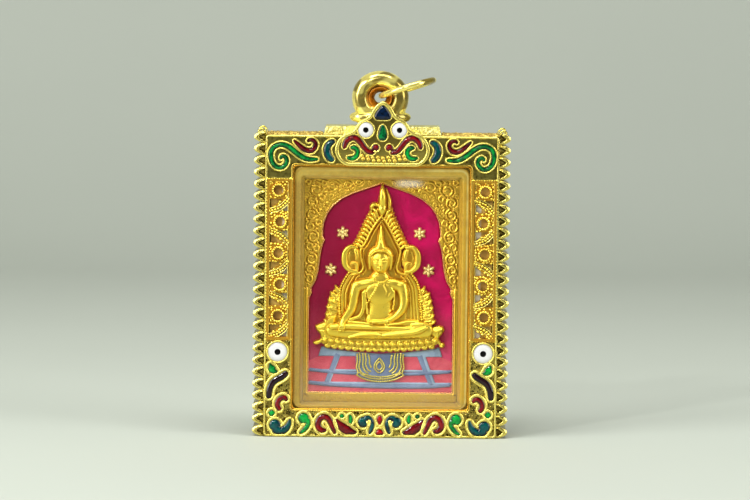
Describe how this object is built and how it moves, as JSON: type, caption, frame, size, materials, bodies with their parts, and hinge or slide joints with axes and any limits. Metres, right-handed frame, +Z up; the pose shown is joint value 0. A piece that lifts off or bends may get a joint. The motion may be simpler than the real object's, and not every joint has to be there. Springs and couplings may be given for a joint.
{
  "type": "amulet pendant",
  "caption": "Gilt pendant casing with enamel cells and toothed sides; a clear case in its window holds a seated figure in relief, and a polished bail on top carries a jump ring.",
  "frame": {"origin": "middle of the underside on which the casing stands", "axes": "+X to the viewer's right, +Y to the back, +Z up; the enamelled front faces -Y"},
  "size_m": [0.0438, 0.0102, 0.0631],
  "materials": {
    "gilt_metal": "gilt, satin to bright, punched ground between bright raised wires",
    "polished_gilt": "gilt, mirror polished",
    "amulet_gilt": "gilt cast relief, warm yellow, soft gloss",
    "clear_acrylic": "clear acrylic, slightly yellowed, polished",
    "magenta_enamel": "transparent crimson to magenta enamel over metal",
    "pink_enamel": "pink enamel, soft gloss",
    "pale_blue_enamel": "grey-blue enamel",
    "slate_enamel": "slate blue enamel with gilt lines",
    "green_enamel": "bright green enamel, domed and glossy",
    "emerald_enamel": "emerald enamel, domed and glossy",
    "maroon_enamel": "dark red enamel, domed and glossy",
    "red_enamel": "red enamel, domed and glossy",
    "teal_enamel": "dark teal enamel, domed and glossy",
    "navy_enamel": "blue-black enamel, domed and glossy",
    "violet_enamel": "purple-black enamel, domed and glossy",
    "white_enamel": "white enamel, domed and glossy",
    "black_enamel": "black enamel, domed and glossy"
  },
  "bodies": {
    "pendant": {"frame": "gilt_metal", "back_plate": "gilt_metal", "bail": "polished_gilt", "case_front": "clear_acrylic", "case_back": "clear_acrylic", "amulet": "amulet_gilt", "niche_enamel": "magenta_enamel", "plinth_enamel": "pink_enamel", "plinth_bands": "pale_blue_enamel", "plinth_drape": "slate_enamel", "green_scrolls": "green_enamel", "red_scrolls": "maroon_enamel", "blue_crescents": "teal_enamel", "crest_top_drop": "navy_enamel", "crest_green_drop": "emerald_enamel", "crest_eyes": "white_enamel", "crest_pupils": "black_enamel", "crest_moustache": "red_enamel", "crest_curls": "green_enamel", "side_eyes": "white_enamel", "side_pupils": "black_enamel", "side_leaves": "green_enamel", "side_waves": "violet_enamel", "side_hooks": "red_enamel", "side_diamonds": "green_enamel", "corner_commas": "teal_enamel", "green_commas": "green_enamel", "red_loops": "red_enamel", "red_leaves": "maroon_enamel", "green_dots": "green_enamel", "green_beans": "green_enamel", "blue_commas": "teal_enamel", "base_drop": "red_enamel", "base_dot": "red_enamel"},
    "jump_ring": {"jump_ring": "polished_gilt"}
  },
  "joints": [
    {"name": "jump_ring_swing", "type": "hinge", "parent": "pendant", "child": "jump_ring", "pos_m": [-0.00045, 0, 0.05855], "axis": [0, -1, 0], "range_deg": [-36, 180]}
  ]
}
